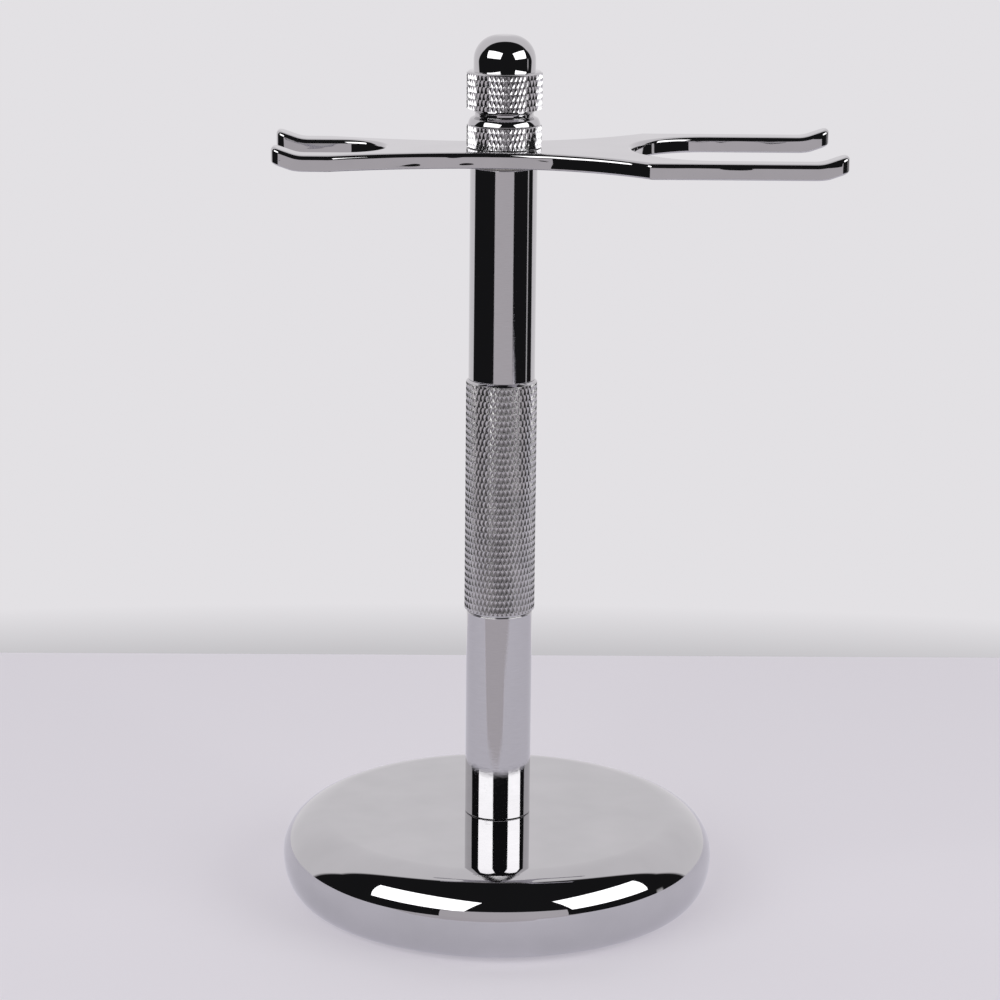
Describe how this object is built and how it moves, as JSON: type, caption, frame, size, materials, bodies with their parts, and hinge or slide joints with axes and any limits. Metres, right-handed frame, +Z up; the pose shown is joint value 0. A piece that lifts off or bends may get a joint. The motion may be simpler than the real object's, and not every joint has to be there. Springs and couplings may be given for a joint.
{
  "type": "razor stand",
  "caption": "Chrome shaving stand: weighted round base, column with a knurled grip, flat fork with a razor slot and a brush slot, and a domed clamp knob.",
  "frame": {"origin": "centre of the underside of the pad, on the surface that the stand rests on", "axes": "+Z up along the column, +X towards the brush end of the fork, -X towards the razor end"},
  "size_m": [0.1008, 0.08, 0.1608],
  "materials": {
    "chrome_casting": "mirror chrome plate on a die casting",
    "chrome_tube": "mirror chrome plate on brass tube",
    "chrome_knurl": "chrome plate over a diamond knurl",
    "chrome_plate": "mirror chrome plate on pressed plate",
    "brass": "turned brass",
    "zinc_steel": "zinc plated steel",
    "iron": "raw casting",
    "foam_pad": "closed cell foam rubber",
    "nylon": "natural nylon"
  },
  "bodies": {
    "base": {"base_shell": "chrome_casting", "ballast_disc": "iron", "base_stud": "zinc_steel", "clamp_washer": "zinc_steel", "spring_washer": "zinc_steel", "stud_nut": "zinc_steel", "base_pad": "foam_pad"},
    "foot_lift": {"foot_washer": "nylon"},
    "column": {"lower_tube": "chrome_tube", "foot_insert": "brass", "lower_coupling": "brass", "grip": "chrome_knurl", "upper_coupling": "brass", "upper_tube": "chrome_tube", "top_insert": "brass", "bearing_washer": "nylon"},
    "fork": {"fork_plate": "chrome_plate"},
    "knob_lift": {"wave_washer": "zinc_steel"},
    "knob": {"knob": "chrome_knurl", "knob_collar": "chrome_knurl", "knob_stud": "zinc_steel"}
  },
  "joints": [
    {"name": "column_lift", "type": "slide", "parent": "base", "child": "foot_lift", "axis": [0, 0, 1], "range_m": [0, 0.012]},
    {"name": "column_turn", "type": "hinge", "parent": "foot_lift", "child": "column", "pos_m": [0, 0, 0.016], "axis": [0, 0, 1], "range_deg": [0, 4320]},
    {"name": "fork_swivel", "type": "hinge", "parent": "column", "child": "fork", "pos_m": [0, 0, 0.13815], "axis": [0, 0, 1], "continuous": true},
    {"name": "knob_rise", "type": "slide", "parent": "column", "child": "knob_lift", "axis": [0, 0, 1], "range_m": [0, 0.0096]},
    {"name": "knob_turn", "type": "hinge", "parent": "knob_lift", "child": "knob", "pos_m": [0, 0, 0.1409], "axis": [0, 0, 1], "range_deg": [0, 4320]}
  ],
  "couplings": [
    {"joint": "column_turn", "follows": "column_lift", "rad_per_m": 6283.2},
    {"joint": "knob_turn", "follows": "knob_rise", "rad_per_m": 7854}
  ]
}
